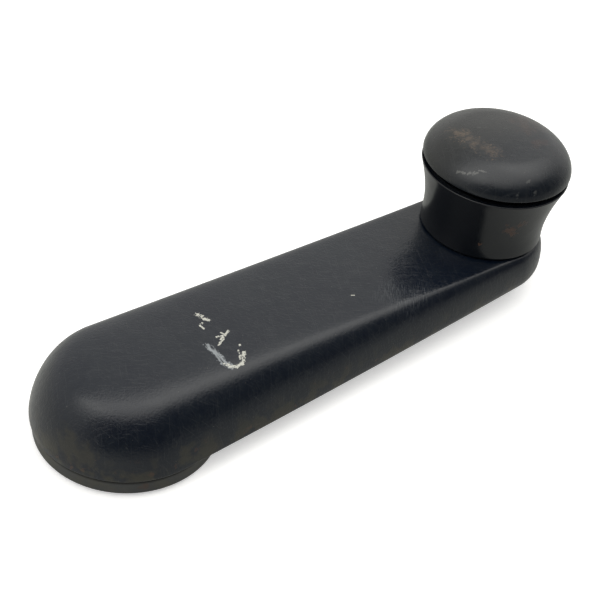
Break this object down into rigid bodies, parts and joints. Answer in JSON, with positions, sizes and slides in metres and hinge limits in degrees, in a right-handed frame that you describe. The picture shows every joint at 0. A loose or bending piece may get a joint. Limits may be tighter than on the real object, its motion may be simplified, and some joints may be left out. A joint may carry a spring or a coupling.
{
  "type": "window crank handle",
  "caption": "Tapered window winder crank with a domed hub, a sliding release ring under it and a waisted spinning knob with a mushroom cap.",
  "frame": {"origin": "on the regulator shaft's axis, at the floor of the splined socket, where the shaft's end stops", "axes": "+X along the arm from the hub to the knob, +Z along the shaft, away from the door"},
  "size_m": [0.1456, 0.0428, 0.0434],
  "materials": {
    "nylon_washer": "natural nylon, slightly dirty",
    "ring_plastic": "dark blue-grey moulded plastic, satin, dusty",
    "spring_steel": "blued spring steel",
    "arm_plastic": "dark blue-grey moulded plastic, satin, scuffed",
    "pressed_steel": "pressed steel plate",
    "zinc_die_cast": "die-cast zinc",
    "cover_plastic": "black moulded plastic, fine grain",
    "plated_steel": "zinc-plated steel",
    "knob_plastic": "dark grey moulded plastic, handled to a low gloss",
    "acetal": "natural acetal",
    "cap_plastic": "dark blue-grey moulded plastic, satin, worn"
  },
  "bodies": {
    "door_side": {"trim_washer": "nylon_washer"},
    "lock": {"lock_ring": "ring_plastic", "retaining_clip": "spring_steel"},
    "crank": {"arm_shell": "arm_plastic", "arm_core": "pressed_steel", "splined_hub": "zinc_die_cast", "hub_rivet_1": "plated_steel", "hub_rivet_2": "plated_steel", "hub_rivet_3": "plated_steel", "core_screw_1": "plated_steel", "core_screw_2": "plated_steel", "underside_cover": "cover_plastic", "cover_screw_1": "plated_steel", "cover_screw_2": "plated_steel", "knob_spindle": "plated_steel", "thrust_washer": "nylon_washer", "wave_washer": "spring_steel", "spindle_clip": "spring_steel"},
    "knob": {"knob_body": "knob_plastic", "knob_bush": "acetal", "knob_cap": "cap_plastic"}
  },
  "joints": [
    {"name": "crank_turn", "type": "hinge", "parent": "door_side", "child": "crank", "pos_m": [0, 0, 0], "axis": [0, 0, 1], "continuous": true},
    {"name": "lock_slide", "type": "slide", "parent": "crank", "child": "lock", "axis": [1, 0, 0], "range_m": [0, 0.005]},
    {"name": "knob_spin", "type": "hinge", "parent": "crank", "child": "knob", "pos_m": [0.105, 0, 0.004], "axis": [0.0381, 0, 0.9993], "continuous": true}
  ]
}
